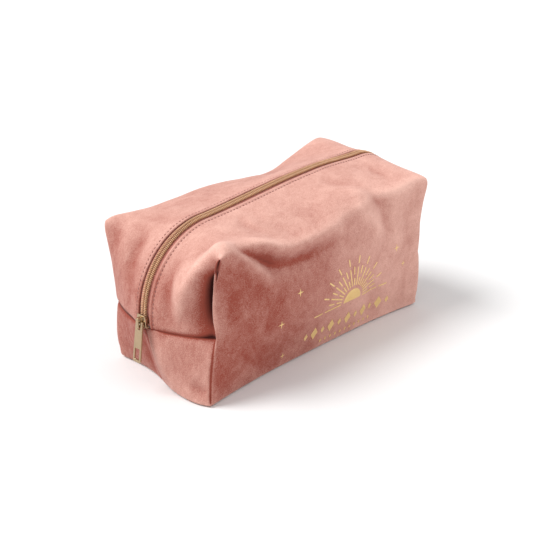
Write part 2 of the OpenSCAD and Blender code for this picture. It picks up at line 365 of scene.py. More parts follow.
def smooth_points(points, pairs, strength, rounds):
    """Moves each point towards the mean of its neighbours, as far as its strength lets it."""
    count = np.zeros(len(points))
    np.add.at(count, pairs.ravel(), 1)
    for _ in range(rounds):
        total = np.zeros_like(points)
        np.add.at(total, pairs[:, 0], points[pairs[:, 1]])
        np.add.at(total, pairs[:, 1], points[pairs[:, 0]])
        points = points + strength[:, None] * (total / count[:, None] - points)
    return points


def spread(values, pairs, rounds):
    """Each point takes the largest value among its neighbours, round by round."""
    for _ in range(rounds):
        wider = values.copy()
        np.maximum.at(wider, pairs[:, 0], values[pairs[:, 1]])
        np.maximum.at(wider, pairs[:, 1], values[pairs[:, 0]])
        values = wider
    return values


def normals_at(shape, points):
    """The skin's outward normals at these points."""
    move_points(shape, points)
    shape.normal_update()
    return np.array([vertex.normal for vertex in shape.verts], float)


def along_line(points, line):
    """Distance to a line of points, and how far along it the nearest place lies, from 0 to 1."""
    line = np.array(line, float)
    spans = np.linalg.norm(np.diff(line, axis=0), axis=1)
    starts = np.concatenate([[0], np.cumsum(spans)])
    best = np.full(len(points), np.inf)
    share = np.zeros(len(points))
    for begin, end, span, start in zip(line[:-1], line[1:], spans, starts):
        step = (end - begin) / span
        t = np.clip((points - begin) @ step, 0, span)
        distance = np.linalg.norm(points - begin - t[:, None] * step, axis=1)
        nearer = distance < best
        best = np.where(nearer, distance, best)
        share = np.where(nearer, (start + t) / starts[-1], share)
    return best, share


# Folds of the sagging velvet: (line of points, height, width). A height below 0 makes a valley.
FRONT_FOLDS = [
    # crest from the pinched corner, and the rolled top edge that it runs into
    ([(-103, -48, 106), (-97, -45, 108), (-90, -44, 112), (-84, -44, 113)], 5.5, 5),
    ([(-84, -44, 113), (-74, -45, 109), (-62, -48, 102), (-50, -50, 96),
      (-36, -50, 93), (-22, -50, 93), (-6, -50, 94), (12, -50, 96)], 5.0, 5.5),
    ([(-80, -51, 103), (-68, -52, 95), (-55, -52, 87),
      (-40, -52, 82), (-20, -52, 82), (5, -52, 84)], -4.5, 6.5),
    # crease that falls from the crest, with a hollow on each side
    ([(-99, -47, 105), (-85, -52, 101), (-69, -53, 86), (-56, -53, 70)], 3.6, 4.5),
    ([(-92, -50, 106), (-78, -51, 101), (-62, -52, 90), (-47, -53, 80)], -4.2, 5),
    ([(-104, -52, 96), (-98, -52, 80), (-92, -52, 60)], -2.4, 9),
    # two crests with a dent between them near the far corner
    ([(34, -38, 113), (41, -41, 111), (49, -45, 109), (55, -50, 106)], 3.4, 5.5),
    ([(50, -46, 109), (58, -51, 103), (67, -52, 96)], -5.5, 5),
    ([(66, -49, 105), (79, -50, 105), (96, -49, 106), (109, -50, 106)], 3.2, 5.5),
    ([(35, -50, 103), (49, -52, 91), (61, -53, 76)], 3.0, 4.5),
    ([(66, -52, 98), (66, -53, 88), (69, -53, 72)], -2.8, 7),
    ([(96, -52, 100), (92, -52, 78), (95, -52, 52)], -2.0, 9),
    # the base edge is drawn up a little
    ([(63, -50, 2), (58, -52, 20), (48, -52, 40)], -2.6, 8),
    ([(-60, -52, 4), (-66, -52, 26), (-80, -52, 48)], -1.6, 10),
]
# The deep pinch beside the near front corner seam
PINCH = [
    (-109, -51.5, 101), (-111, -51.5, 95), (-113, -51, 85), (-113, -51, 70), (-113, -51.5, 50),
]
NEAR_END_FOLDS = [
    # the pinch and the swelling next to it
    (PINCH, -11, 6.5),
    ([(-99, -46, 110), (-104, -42, 106), (-111, -38, 97),
      (-116, -35, 87), (-119, -32, 78), (-121, -28, 66)], 6.0, 5.5),
    ([(-113, -44, 84), (-114, -43, 70), (-114, -43, 54)], -4.0, 8),
    # soft folds that run down from the shoulder
    ([(-113, -16, 91), (-120, -17, 80), (-123, -20, 70), (-124, -21, 60)], -4.0, 5),
    ([(-110, -26, 98), (-117, -25, 84), (-121, -24, 74)], 3.0, 5),
    ([(-108, 47, 103), (-110, 44, 96), (-113, 41, 86)], -4.0, 6),
    ([(-104, 35, 104), (-112, 33, 92), (-117, 31, 80)], 2.6, 7),
    ([(-106, 23, 100), (-112, 23, 93), (-116, 22, 87), (-119, 20, 76)], -3.2, 6),
    ([(-119, 14, 82), (-122, 16, 68), (-123, 18, 56)], -1.8, 5),
    # the lower panel: a diagonal hollow, a swelling and a dimple at the foot
    ([(-124, 3, 42), (-119, 8, 24), (-114, 8, 7)], -3.6, 6),
    ([(-124, -12, 38), (-121, -15, 20), (-119, -17, 6)], 2.6, 9),
    ([(-120, -40, 14), (-119, -48, 8)], -3.5, 4),
]
TOP_FOLDS = [
    ([(-52, -14, 113), (-57, -26, 110), (-50, -37, 106)], -1.8, 4),
    ([(-44, -16, 114), (-40, -30, 110), (-30, -40, 104)], -1.6, 5),
    ([(-104, -30, 104), (-99, -35, 106), (-93, -34, 108)], -1.6, 3),
    ([(28, -14, 118), (36, -26, 116), (48, -34, 113)], -1.8, 5),
    ([(70, -15, 119), (80, -28, 115), (84, -40, 110)], -1.8, 5),
    ([(-92, 22, 106), (-80, 32, 106), (-60, 38, 106)], -1.8, 6),
    ([(20, 24, 112), (34, 34, 108), (52, 40, 110)], -2.4, 7),
]
FAR_END_FOLDS = [
    ([(107, -49, 104), (111, -48, 92), (111, -49, 72)], -2.5, 4.5),
    ([(106, -38, 104), (114, -35, 92), (119, -31, 76)], 3.0, 7),
    ([(107, 49, 110), (111, 48, 96), (111, 49, 74)], -2.5, 5),
    ([(112, 20, 100), (121, 19, 84), (123, 20, 64)], -2.4, 6),
    ([(115, -10, 40), (113, -22, 18), (112, -30, 6)], -2.4, 7),
]
BACK_FOLDS = [
    ([(60, 52, 98), (36, 53, 86), (4, 53, 80), (-26, 52, 84)], 3.2, 8),
    ([(66, 52, 86), (38, 53, 74), (4, 53, 68)], -2.6, 9),
    ([(-104, 52, 98), (-88, 53, 82), (-76, 53, 60)], 2.6, 6),
    ([(-96, 52, 100), (-78, 53, 84), (-62, 53, 66)], -2.6, 6),
    ([(98, 52, 104), (88, 53, 86), (82, 53, 62)], -2.4, 7),
    ([(20, 52, 4), (26, 53, 22), (20, 53, 42)], -2.2, 8),
]
# The top's sewn corners, and last the swelling behind the zip's far end: (x, y) and its push
EARS = [
    ((-110, -52), (1.0, -1.5, 3.0)),
    ((-110, 52), (-6.0, 3.6, 2.5)),
    ((110, -52), (4.5, -2.7, 3.0)),
    ((110, 52), (1.5, 1.0, 0.5)),
    ((106, 36), (0.5, 0.0, 4.5)),
]


EAR_REACH = (22, 18, 26)
# How strong a fold already is at its tips, how full it is along its line, and how sharp its crest is
FOLD_TIP, FOLD_FULLNESS, FOLD_SHARPNESS = 0.12, 0.8, 1.5


def fold_relief(points, folds):
    """How far these folds make each point of the skin stand out of or into the plain shape."""
    relief = np.zeros(len(points))
    for line, height, width in folds:
        distance, share = along_line(points, line)
        share = np.clip(FOLD_TIP + (1 - 2 * FOLD_TIP) * share, 0, 1)
        fade = np.sin(np.pi * share) ** FOLD_FULLNESS
        relief += height * fade * np.exp(-((distance / width) ** FOLD_SHARPNESS))
    return relief


def cloth_unevenness(points, scale, seed):
    """Gentle, irregular hills of about height 1."""
    return np.array([noise.noise(Vector(point) / scale + Vector((seed, 0, 0))) for point in points])


class Region:
    """Which of the skin's vertices lie on which part of the bag."""

    def __init__(self, grid):
        a, y, h = grid.T
        self.end = np.abs(a) > 0.9999
        self.wall = np.abs(y) > HALF_DEPTH - ON_LINE
        self.top = h > EAR_Z - ON_LINE
        self.base = h < ON_LINE
        self.corner_seam = self.end & self.wall
        self.zip_side = self.top | (self.end & (h > SEAM_Z - 4))


def plain_points(grid, region):
    """The plain shape, before the cloth sags and folds."""
    a, y, h = grid.T
    points = np.zeros_like(grid)
    for side in (FRONT, BACK):
        chosen = region.wall & (np.sign(y) == side)
        points[chosen] = wall_point(side, a[chosen], h[chosen])
    points[region.base] = base_point(a[region.base], y[region.base])
    points[region.top] = top_point(a[region.top], y[region.top])
    for end in (NEAR, FAR):
        chosen = region.end & (np.sign(a) == end)
        points[chosen] = end_point(end, y[chosen], h[chosen])
    return points


def sag(points, grid):
    """Lets the plain shape sag and swell, and pulls its sewn corners out as ears."""
    x, y, h = points[:, 0], grid[:, 1], grid[:, 2]
    b, lift = y / HALF_DEPTH, h / EAR_Z
    # The top bows up along the zip, and its edges sag between the corners
    bow = TOP_BOW * ramp(x, -75, 20) * (1 - ramp(x, 40, 92))
    reach = np.where(x < BACK_SAG_X, hump(x, BACK_SAG_X, 42), hump(x, BACK_SAG_X, 28))
    edge_sag = np.where(b > 0, BACK_SAG * reach, FRONT_SAG * hump(x, FRONT_SAG_X, 44))
    edge = np.clip(np.abs(b), 0, 1) ** 1.5
    points[:, 2] += lift * (bow * (1 - edge) - edge * edge_sag)
    # The long walls swell above and are drawn in along the base
    span = 1 - np.clip(np.abs(x) / 112, 0, 1) ** 3
    belly = WALL_BELLY * span * np.sin(np.pi * np.clip(lift, 0, 1))
    tuck = span * (1 - ramp(points[:, 2], 0, 45)) * np.where(b < 0, FRONT_TUCK, BACK_TUCK)
    points[:, 1] += np.sign(b) * np.abs(b) ** 3 * (belly - tuck)
    # The end seam climbs a little towards the front
    tilt = -b * ramp(-x, 85, 112) * hump(h, SEAM_Z, 24)
    points[:, 2] += SEAM_TILT * tilt
    for place, push in EARS:
        away = (points - (*place, EAR_Z)) / EAR_REACH
        points += np.exp(-(away**2).sum(1))[:, None] * np.array(push)


def seam_marks(grid, region):
    """How near each vertex lies to the seams across the ends, up the corners and up the low ends."""
    _, y, h = grid.T
    end_seam = np.where(region.end, hump(h, SEAM_Z, 0.4) + 0.35 * hump(h, SEAM_Z, 1.4), 0)
    corner_seam = np.where(region.corner_seam, 1.0, 0.0)
    centre_seam = np.where(region.end & (h < SEAM_Z), hump(y, 0, 1.0), 0)
    return end_seam, corner_seam, centre_seam


def hem_relief(grid, region):
    """The velvet's folded edges stand up beside the coil and sink at the stitching."""
    across = np.abs(grid[:, 1])
    hem = 0.75 * hump(across, HEM_Y, 0.9) - 0.5 * hump(across, SLOT_Y, 0.4)
    hem -= 0.45 * hump(across, STITCH_Y, 0.6)
    return np.where(region.zip_side & (grid[:, 2] > SEAM_Z - 1), hem, 0)


def padding_under(shape, points, pairs, strength):
    """A calmer skin that bridges the folds and is set in under a hollow.

    Gives its points, its inward directions and how hollow the velvet is at each of them.
    """
    normals = normals_at(shape, points)
    settled = smooth_points(points, pairs, strength, PADDING_ROUNDS)
    hollow = ((settled - points) * normals).sum(1)
    evenly = np.full(len(points), 0.5)
    inward = -smooth_points(normals_at(shape, settled), pairs, evenly, INWARD_ROUNDS)
    inward /= np.linalg.norm(inward, axis=1)[:, None]
    room = smooth_points(spread(np.clip(hollow, 0, 12), pairs, 2)[:, None], pairs, evenly, 4)
    return settled + inward * room * PADDING_ROOM, inward, hollow


def bag_skin():
    """The bag's outer skin, sagged, folded and settled, with each vertex's grid place."""
    shape, grid = skin_box()
    region = Region(grid)
    points = plain_points(grid, region)
    sag(points, grid)

    # It settles: least of all at the sewn corners and beside the zip
    _, y, h = grid.T
    pairs = np.array([[edge.verts[0].index, edge.verts[1].index] for edge in shape.edges])
    beside_zip = np.where(region.zip_side, ramp(np.abs(y), 9, 20), 1.0)
    seam_hold = np.where(region.corner_seam & (h > 9), 0.03, 1.0)
    base_hold = np.where(region.base & ~region.wall, 0.2, 1.0)
    at_ear = hump(np.abs(points[:, 0]), 112, 20) * hump(np.abs(y), HALF_DEPTH, 14)
    strength = 0.5 * beside_zip * seam_hold * base_hold
    strength *= 1 - 0.75 * np.where(h / EAR_Z > 0.5, at_ear, 0)
    points = smooth_points(points, pairs, strength, SETTLE_ROUNDS)

    # It folds: not beside the zip nor on the base, and the folds of an end fade out round the corner
    normals = normals_at(shape, points)
    calm = np.where(region.zip_side, ramp(np.abs(y), 10, 24), 1.0) * np.where(region.base, 0.1, 1.0)
    past_corner = np.where(region.wall, ramp(np.abs(points[:, 0]), 114, 103), 0)
    relief = fold_relief(points, FRONT_FOLDS + TOP_FOLDS)
    relief = relief * np.where(region.corner_seam, 0.3, 1.0)
    relief += fold_relief(points, NEAR_END_FOLDS + FAR_END_FOLDS) * (1 - 0.75 * past_corner)
    relief += fold_relief(points, BACK_FOLDS)
    # How near each point lies to the pinch's crease, which is painted in deep shade
    distance, share = along_line(points, PINCH)
    down_pinch = ramp(share, 0, 0.2) * (1 - 0.6 * ramp(share, 0.4, 1.0))
    crease = hump(distance, 0, 6.5) * np.where(region.end, down_pinch, 0)
    hills, ripples = cloth_unevenness(points, 34, 3.1), cloth_unevenness(points, 13, 8.7)
    relief += CLOTH_HILLS * hills + CLOTH_RIPPLES * ripples
    points = points + normals * (relief * calm)[:, None]
    seam_hold = np.where(region.corner_seam & (crease < 0.1), 0.1, 1.0)
    points = smooth_points(points, pairs, 0.3 * beside_zip * seam_hold, FOLD_ROUNDS)

    # It is sewn: the seams draw it in
    end_seam, corner_seam, centre_seam = seam_marks(grid, region)
    relief = hem_relief(grid, region) - (
        END_SEAM_PULL * end_seam + CORNER_SEAM_PULL * corner_seam + CENTRE_SEAM_PULL * centre_seam
    )
    points = points + normals_at(shape, points) * relief[:, None]
    points[:, 2] = np.maximum(points[:, 2], 0)
    padding, inward, hollow = padding_under(shape, points, pairs, 0.5 * beside_zip)
    # Marks for the painted shade: how hollow the velvet lies, the seams and the pinch's crease
    seam = np.clip(end_seam + corner_seam + 0.8 * centre_seam, 0, 1)
    move_points(shape, points)
    return shape, grid, points, padding, inward, {"hollow": hollow, "seam": seam, "crease": crease}


skin, GRID, SKIN, PADDING, INWARD, SHADE_MARKS = bag_skin()


class ZipLine:
    """The middle line of the zip: up the near end, over the top and down the far end."""

    def __init__(self):
        middle = SKIN[(np.abs(GRID[:, 1]) < ON_LINE) & (GRID[:, 2] > SEAM_Z - 1)]
        # In the order in which they lie round a point inside the bag, from the near end
        angle = np.arctan2(middle[:, 2] - 60, middle[:, 0] / 2)
        order = np.argsort(-np.where(angle < -np.pi / 2, angle + 2 * np.pi, angle))
        self.line = middle[order][:, [0, 2]]
        steps = np.linalg.norm(np.diff(self.line, axis=0), axis=1)
        self.stations = np.concatenate([[0], np.cumsum(steps)])
        self.length = self.stations[-1]

    def place(self, s, y, lift):
        """Points at distance s along the zip, y beside it and lift above the velvet."""
        def at(t):
            return np.stack([np.interp(t, self.stations, self.line[:, k]) for k in (0, 1)], -1)

        here, ahead = at(s), at(s + 2) - at(s - 2)
        ahead /= np.linalg.norm(ahead, axis=1)[:, None]
        x = here[:, 0] - ahead[:, 1] * lift
        z = here[:, 1] + ahead[:, 0] * lift
        return np.stack([x, y + 0 * x, z], -1)


zip_line = ZipLine()


def surface_of(piece):
    """A tree of the piece's finished surface, for resting other pieces on it."""
    seen = bpy.context.evaluated_depsgraph_get()
    return BVHTree.FromObject(piece.evaluated_get(seen), seen)


def ground_at(velvet, s, y):
    """How high the velvet lies above the zip's own line at distance s along it and y beside it."""
    probe = 8.0
    rest = surface_of(velvet)
    above, below = (zip_line.place(s, y, lift + 0 * s) for lift in (probe, -probe))
    lifts = []
    for high, low in zip(above, below):
        distance = rest.ray_cast(Vector(high) * MM, Vector(low - high))[3]
        lifts.append(probe - distance / MM if distance else 0.0)
    return np.array(lifts)


# ---- materials

class Value:
    """A socket that carries a number and takes part in sums."""

    def __init__(self, shade, socket):
        self.shade = shade
        self.socket = socket

    def __add__(self, other):
        return self.shade.maths("ADD", self, other)

    def __sub__(self, other):
        return self.shade.maths("SUBTRACT", self, other)

    def __rsub__(self, other):
        return self.shade.maths("SUBTRACT", other, self)

    def __mul__(self, other):
        return self.shade.maths("MULTIPLY", self, other)

    __radd__ = __add__
    __rmul__ = __mul__


class Shade:
    """One material and the nodes that make it."""

    def __init__(self, name, **constants):
        self.material = bpy.data.materials.new(name)
        self.material.use_nodes = True
        self.tree = self.material.node_tree
        self.tree.nodes.clear()
        self.surface = self.tree.nodes.new("ShaderNodeBsdfPrincipled")
        output = self.tree.nodes.new("ShaderNodeOutputMaterial")
        self.tree.links.new(self.surface.outputs["BSDF"], output.inputs["Surface"])
        for socket, value in constants.items():
            self.surface.inputs[socket.replace("_", " ")].default_value = value

    def put(self, socket, value):
        """Links a value to a socket, or sets the socket to it."""
        if isinstance(value, Value):
            self.tree.links.new(value.socket, socket)
        else:
            socket.default_value = value

    def node(self, kind, settings=None, inputs=None, output=0):
        """Makes a node: its settings first, then the values or links of its sockets."""
        made = self.tree.nodes.new(kind)
        for key, value in (settings or {}).items():
            if key == "stops":
                for element, (place, colour) in zip(made.color_ramp.elements, value):
                    element.position = place
                    element.color = (*colour, 1)
            else:
                setattr(made, key, value)
        for key, value in (inputs or {}).items():
            self.put(made.inputs[key], value)
        return Value(self, made.outputs[output])

    def maths(self, operation, a, b, clamp=False):
        """A sum of two values or numbers."""
        settings = {"operation": operation, "use_clamp": clamp}
        return self.node("ShaderNodeMath", settings, {0: a, 1: b})

    def clamped(self, a):
        """A value held between 0 and 1."""
        return self.maths("ADD", a, 0.0, clamp=True)

    def place(self):
        """Where a point is on the object, in metres."""
        return self.node("ShaderNodeTexCoord", output="Object")

    def stretched(self, vector, scale):
        """A place with its axes scaled, so that what it feeds is drawn out along some of them."""
        return self.node("ShaderNodeMapping", None, {"Vector": vector, "Scale": scale})

    def grain(self, vector, scale, detail=2.0, roughness=0.5, distortion=0.0):
        """Noise from 0 to 1, scale cycles to the metre."""
        return self.node("ShaderNodeTexNoise", None, {
            "Vector": vector, "Scale": scale, "Detail": detail,
            "Roughness": roughness, "Distortion": distortion,
        })

    def attribute(self, name):
        """A number painted on the mesh."""
        return self.node("ShaderNodeAttribute", {"attribute_name": name}, output="Fac")

    def between(self, share, low, high):
        """A colour between two colours."""
        low = low if isinstance(low, Value) else (*low, 1)
        high = high if isinstance(high, Value) else (*high, 1)
        return self.node(
            "ShaderNodeMix", {"data_type": "RGBA"}, {0: share, 6: low, 7: high}, output=2
        )

    def wave(self, vector, direction, scale, **inputs):
        """Bands from 0 to 1 that run across a direction."""
        settings = {"wave_type": "BANDS", "bands_direction": direction}
        return self.node(
            "ShaderNodeTexWave", settings, {"Vector": vector, "Scale": scale, **inputs}, output="Fac"
        )

    def colour(self, share, low, high):
        """The surface's colour, between two colours."""
        self.put(self.surface.inputs["Base Color"], self.between(share, low, high))

    def rough(self, value):
        """The surface's roughness."""
        self.put(self.surface.inputs["Roughness"], value)

    def relief(self, height, distance, strength=1.0):
        """Feeds a height to the surface's normal."""
        bump = self.node("ShaderNodeBump", None, {
            "Height": height, "Distance": distance, "Strength": strength,
        })
        self.put(self.surface.inputs["Normal"], bump)


def velvet_finish():
    """Dusty rose velvet: short nap with brushed patches and a pale sheen at the edges."""
    shade = Shade(
        "rose_velvet", Specular_IOR_Level=0.12,
        Sheen_Weight=0.22, Sheen_Roughness=0.38, Sheen_Tint=(1.0, 0.80, 0.76, 1.0),
    )
    where = shade.place()
    brushed = shade.stretched(where, (1.0, 1.3, 0.8))
    patches = shade.grain(brushed, 34, detail=3, roughness=0.55, distortion=1.2)
    marks = shade.grain(brushed, 190, detail=3, roughness=0.6, distortion=0.6)
    pile = shade.grain(where, 1500, detail=2, roughness=0.6)
    # This painted number carries painted light and shade as well as the pile's lie: pale tops, a
    # front that pales along the bag, deep hollows, seams and creases
    nap = shade.attribute("nap")
    tone = shade.clamped(
        0.32 + nap * 0.65
        + (patches - 0.5) * 0.5 + (marks - 0.5) * 0.35 + (pile - 0.5) * 0.8
    )
    cloth = shade.between(tone, (0.28, 0.060, 0.040), (0.80, 0.48, 0.40))
    # Painted shadow: where the painted shade runs deepest, down in a crease or a seam, the colour
    # turns almost black
    shade.colour(shade.clamped(nap * -1.4 - 0.9), cloth, (0.05, 0.010, 0.008))
    shade.rough(0.95 - tone * 0.2)
    shade.relief(pile * 0.6 + marks * 1.4 + patches * 2.0, 0.0006, 0.5)
    return shade.material


def lining_finish():
    """Pale satin lining with a fine twill."""
    shade = Shade("blush_lining", Sheen_Weight=0.15)
    where = shade.place()
    twill = shade.wave(where, "DIAGONAL", 420.0, Distortion=0.6, Detail=1.0)
    wear = shade.grain(where, 40, detail=3)
    shade.colour(shade.clamped(twill * 0.3 + wear * 0.7), (0.62, 0.36, 0.31), (0.80, 0.56, 0.50))
    shade.rough(0.42 + wear * 0.2)
    shade.relief(twill, 0.0002, 0.4)
    return shade.material


def foam_finish():
    """Off-white sewing foam."""
    shade = Shade("sewing_foam")
    inputs = {"Vector": shade.place(), "Scale": 900.0}
    cells = shade.node("ShaderNodeTexVoronoi", None, inputs, output="Distance")
    shade.colour(cells, (0.62, 0.60, 0.56), (0.86, 0.85, 0.81))
    shade.rough(0.9 - cells * 0.1)
    shade.relief(cells, 0.0004, 0.6)
    return shade.material


def tape_finish(name, low, high):
    """Woven tape: a fine rib across and along."""
    shade = Shade(name, Sheen_Weight=0.2)
    where = shade.place()
    ribs = [
        shade.wave(where, direction, scale, Distortion=0.3)
        for direction, scale in (("X", 330.0), ("Y", 260.0), ("Z", 330.0))
    ]
    weave = shade.maths("MAXIMUM", ribs[1], ribs[0] * 0.5 + ribs[2] * 0.5)
    stain = shade.grain(where, 90, detail=3)
    shade.colour(shade.clamped(weave * 0.5 + stain * 0.5), low, high)
    shade.rough(0.85 - weave * 0.15)
    shade.relief(weave, 0.00025, 0.6)
    return shade.material


def coil_finish():
    """Tan nylon coil."""
    shade = Shade("tan_nylon", Specular_IOR_Level=0.45, Coat_Weight=0.15, Coat_Roughness=0.3)
    where = shade.place()
    tint = shade.grain(where, 260, detail=3)
    scuff = shade.grain(where, 1400, detail=2)
    shade.colour(tint, (0.46, 0.24, 0.12), (0.70, 0.42, 0.24))
    shade.rough(0.34 + scuff * 0.2)
    shade.relief(scuff, 0.0001, 0.3)
    return shade.material


def thread_finish():
    """Twisted rose thread."""
    shade = Shade("rose_thread", Sheen_Weight=0.3)
    twist = shade.wave(shade.place(), "DIAGONAL", 900.0, Distortion=0.5)
    shade.colour(twist, (0.17, 0.045, 0.032), (0.36, 0.12, 0.09))
    shade.rough(0.7 - twist * 0.2)
    shade.relief(twist, 0.0001, 0.6)
    return shade.material


def metal_finish():
    """Light gold plate, lightly brushed and rubbed."""
    shade = Shade("light_gold", Metallic=1.0)
    where = shade.place()
    brushed = shade.grain(shade.stretched(where, (1.0, 14.0, 1.0)), 240, detail=3)
    rubbed = shade.grain(where, 110, detail=4, roughness=0.6)
    shade.colour(rubbed, (0.33, 0.24, 0.15), (0.56, 0.41, 0.26))
    shade.rough(0.20 + brushed * 0.12 + rubbed * 0.10)
    shade.relief(brushed, 0.00006, 0.35)
    return shade.material


def foil_finish():
    """Pressed gold foil that has taken the nap's grain."""
    shade = Shade("pressed_foil", Specular_Tint=(1.0, 0.86, 0.6, 1.0))
    where = shade.place()
    flecks = shade.grain(where, 900, detail=3, roughness=0.7)
    worn = shade.grain(where, 160, detail=3)
    shade.colour(shade.clamped(flecks * 0.6 + worn * 0.5), (0.62, 0.40, 0.15), (0.95, 0.72, 0.36))
    shade.put(shade.surface.inputs["Metallic"], shade.clamped(0.35 + flecks * 0.5))
    shade.rough(0.36 + flecks * 0.3)
    shade.relief(flecks, 0.0003, 0.6)
    return shade.material


def paper_finish():
    """Plain white floor paper."""
    shade = Shade("studio_paper", Base_Color=(0.80, 0.80, 0.80, 1.0))
    tooth = shade.grain(shade.place(), 60, detail=3)
    shade.rough(0.85 + tooth * 0.1)
    return shade.material


VELVET = velvet_finish()
LINING = lining_finish()
FOAM = foam_finish()
TAPE = tape_finish("rose_tape", (0.36, 0.10, 0.075), (0.56, 0.22, 0.17))
BINDING = tape_finish("blush_binding", (0.60, 0.34, 0.29), (0.80, 0.54, 0.48))
COIL = coil_finish()
THREAD = thread_finish()
METAL = metal_finish()
FOIL = foil_finish()


# ---- how far the mouth would open, worked out but not applied

def lens(x):
    """How far the mouth opens at x: a lens that is closed at both of its ends."""
    share = np.clip((x - mouth_low.x) / (mouth_high.x - mouth_low.x), 0, 1)
    return np.sin(np.pi * share) ** 0.8


def bend_open(piece, side):
    """Bakes the piece's placing into its mesh and works out how far its upper part beside the zip
    would open with the mouth; that share is not applied.
    """
    side * FOLD_Y * MM
    side * SLOT_Y * MM
    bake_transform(piece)
    x, y, z = places_of(piece).T
    # How far each point would open: nothing at the walls or down the ends
    share = lens(x) * (1 - ramp(np.abs(y), OPEN_Y, SHUT_Y)) * ramp(z, SHUT_Z, OPEN_Z)
    return piece


# ---- soft layers

def half_of_skin(side, slot_y, depth):
    """One half of the skin, open along the zip and set in by depth."""
    shape = skin.copy()
    if depth:
        move_points(shape, PADDING + INWARD * depth)
    else:
        # The two halves lap a little where they are sewn together
        for vertex, place in zip(shape.verts, GRID):
            if abs(place[1]) < ON_LINE:
                vertex.co.y -= side * SEAM_LAP
    for name, values in SHADE_MARKS.items():
        layer = shape.verts.layers.float.new(name)
        for vertex, value in zip(shape.verts, values):
            vertex[layer] = value

    def unwanted(face):
        places = GRID[[vertex.index for vertex in face.verts]]
        y, h = places[:, 1].mean(), places[:, 2].mean()
        other_half = y * side < 0
        over_zip = abs(y) < slot_y and h > SEAM_Z
        return other_half or over_zip

    bmesh.ops.delete(shape, geom=[face for face in shape.faces if unwanted(face)], context="FACES")
    return shape


def brush_nap(piece):
    """Paints the pile's lie together with painted light and shade: above 0 it looks pale, below 0
    deep.
    """
    x, y, z = places_of(piece).T
    normals = np.array([vertex.normal for vertex in piece.data.vertices], float)
    upward = ramp(normals[:, 2], 0.15, 0.85)
    to_front = ramp(-normals[:, 1], 0.3, 0.8)
    to_near = ramp(-normals[:, 0], 0.3, 0.8)
    # Painted light: the top is painted pale as if lit from above, less so towards the back, and the
    # front is painted from deep to pale along the bag
    nap = upward * (0.5 - 0.2 * ramp(y, 5, 30))
    nap += to_front * (1 - 0.7 * upward) * (0.82 * ramp(x, -75, 80) - 0.33)
    # The two halves of the near end's low part are brushed in different ways, and above the seam the
    # near end is painted a little darker, less so towards the front
    low = 1 - ramp(z, SEAM_Z - 0.6, SEAM_Z + 0.6)
    low_end = np.where(y < 0, 0.06, -0.36)
    high_end = 0.1 - 0.1 * ramp(-y, 15, 30)
    nap += to_near * (low * low_end - (1 - low) * high_end)
    # Painted shade: hollows, seams and the pinch's crease are painted deep, and crests a little pale
    # as a painted highlight
    marks = {}
    for name in SHADE_MARKS:
        marks[name] = np.zeros(len(x), np.float32)
        piece.data.attributes[name].data.foreach_get("value", marks[name])
    nap -= np.clip(marks["hollow"] * 0.19, -0.45, 1.2) + 0.8 * marks["seam"] + 1.3 * marks["crease"]
    layer = piece.data.attributes.new("nap", "FLOAT", "POINT")
    layer.data.foreach_set("value", nap.astype(np.float32))


# The frame's nodes that one side of each layer stands for: on the bag, and on the lip of the mouth
LAYER_NODES = {
    "velvet": ("outer_{}_panel", "mouth_velvet_{}"),
    "foam": ("foam_{}", "mouth_foam_{}"),
    "lining": ("lining_{}", "mouth_lining_{}"),
    "tape": ("zip_tape_{}", "mouth_tape_{}"),
    "coil": ("zip_coil_{}", "mouth_coil_{}"),
    "stitch": ("topstitch_{}", "mouth_topstitch_{}"),
}


def stands_for(layer, side):
    """The names of the frame's nodes that one side of a layer stands for."""
    return [name.format(SIDE_NAME[side]) for name in LAYER_NODES[layer]]


def velvet_panel(side):
    piece = as_object(f"velvet_panel_{SIDE_NAME[side]}", half_of_skin(side, SLOT_Y, 0))
    brush_nap(piece)
    soften(thicken(piece, VELVET_T))
    finish_piece(piece, VELVET, stands_for("velvet", side))
    return bend_open(piece, side)


def inner_layer(name, layer, side, depth, thickness, material):
    """One half of a layer under the velvet."""
    shape = half_of_skin(side, INNER_SLOT_Y, depth)
    piece = thicken(as_object(f"{name}_{SIDE_NAME[side]}", shape), thickness)
    finish_piece(piece, material, stands_for(layer, side))
    return piece


def foam_pad(side):
    piece = inner_layer("foam_pad", "foam", side, FOAM_DEPTH, FOAM_T, FOAM)
    return bend_open(piece, side)


def lining_panel(side):
    piece = inner_layer("lining_panel", "lining", side, LINING_DEPTH, LINING_T, LINING)
    return bend_open(piece, side)


# ---- seam bindings inside

def bound_seam(name, chosen, order, node):
    """A bound seam allowance: a strip that stands inwards from the chosen line of the skin."""
    chosen = np.flatnonzero(chosen)
    chosen = chosen[np.argsort(GRID[chosen, order])]
    shape = bmesh.new()
    run = [shape.verts.new(PADDING[k] + INWARD[k] * BINDING_DEPTH) for k in chosen]
    edges = [shape.edges.new(pair) for pair in zip(run[:-1], run[1:])]
    for step in BINDING_STEPS:
        made = bmesh.ops.extrude_edge_only(shape, edges=edges)["geom"]
        edges = [part for part in made if isinstance(part, bmesh.types.BMEdge)]
        raised = [part for part in made if isinstance(part, bmesh.types.BMVert)]
        for vertex, k in zip(raised, chosen):
            vertex.co += Vector(INWARD[k]) * step
    face_outwards(shape)
    piece = soften(thicken(as_object(name, shape), BINDING_T))
    finish_piece(piece, BINDING, [node])
    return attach(piece, "bag")


